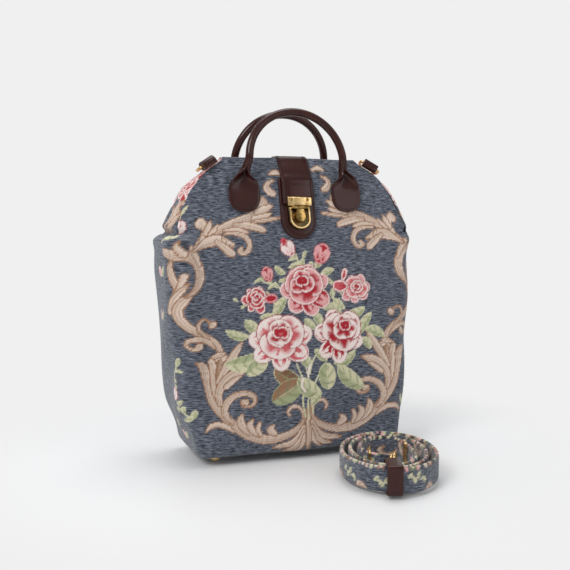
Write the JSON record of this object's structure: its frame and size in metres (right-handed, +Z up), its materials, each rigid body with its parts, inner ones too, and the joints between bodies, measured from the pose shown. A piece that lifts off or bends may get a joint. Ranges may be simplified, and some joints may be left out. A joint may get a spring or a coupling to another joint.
{
  "type": "mini backpack",
  "caption": "Carpet-bag shaped mini backpack in tapestry cloth with rolled leather handles, a flap with a tuck lock, end rings and a wound shoulder strap.",
  "frame": {"origin": "on the surface it stands on, under the middle of the bag", "axes": "+Z up, the front with the lock faces -Y, +X to the right seen from the front"},
  "size_m": [0.276, 0.2659, 0.3753],
  "materials": {
    "tapestry": "woven chenille",
    "tapestry_strap": "woven chenille",
    "lining_cloth": "plain weave",
    "board": "pressed fibre board",
    "brown_leather": "smooth waxed",
    "antique_brass": "antique",
    "steel": "zinc plated"
  },
  "bodies": {
    "bag": {"back_frame": "steel", "back_handle": "brown_leather", "back_left_foot": "antique_brass", "back_panel": "tapestry", "back_right_foot": "antique_brass", "base_board": "board", "base_panel": "tapestry", "flap_anchor": "brown_leather", "front_frame": "steel", "front_handle": "brown_leather", "front_left_foot": "antique_brass", "front_panel": "tapestry", "front_right_foot": "antique_brass", "left_frame_rivet": "steel", "left_gusset": "tapestry", "left_ring_loop": "brown_leather", "lining": "lining_cloth", "lock_back_plate": "steel", "lock_patch": "brown_leather", "lock_receiver": "antique_brass", "right_frame_rivet": "steel", "right_gusset": "tapestry", "right_ring_loop": "brown_leather", "strap_coil": "tapestry_strap", "strap_eye_one": "antique_brass", "strap_eye_two": "antique_brass", "strap_hook_one": "antique_brass", "strap_hook_two": "antique_brass", "strap_keeper": "brown_leather", "strap_slider": "antique_brass", "strap_trigger_one": "antique_brass", "strap_trigger_two": "antique_brass"},
    "flap": {"closure_flap": "brown_leather", "hasp_plate": "antique_brass", "hasp_rivets": "antique_brass"},
    "slide": {"thumb_slide": "antique_brass"},
    "left_ring": {"left_d_ring": "antique_brass"},
    "right_ring": {"right_d_ring": "antique_brass"}
  },
  "joints": [
    {"name": "flap_hinge", "type": "hinge", "parent": "bag", "child": "flap", "pos_m": [0, 0.0086, 0.3219], "axis": [-1, 0, 0], "range_deg": [0, 85]},
    {"name": "lock_slide", "type": "slide", "parent": "bag", "child": "slide", "axis": [0, -0.2354, -0.9719], "range_m": [0, 0.0035], "stiffness_N_per_m": 400, "springref_m": -0.0005},
    {"name": "left_ring_swing", "type": "hinge", "parent": "bag", "child": "left_ring", "pos_m": [-0.09506, -0.00992, 0.31427], "axis": [0.8198, 0.2631, 0.5086], "range_deg": [0, 100]},
    {"name": "right_ring_swing", "type": "hinge", "parent": "bag", "child": "right_ring", "pos_m": [0.09506, -0.00992, 0.31427], "axis": [0.8198, -0.2631, -0.5086], "range_deg": [0, 100]}
  ]
}
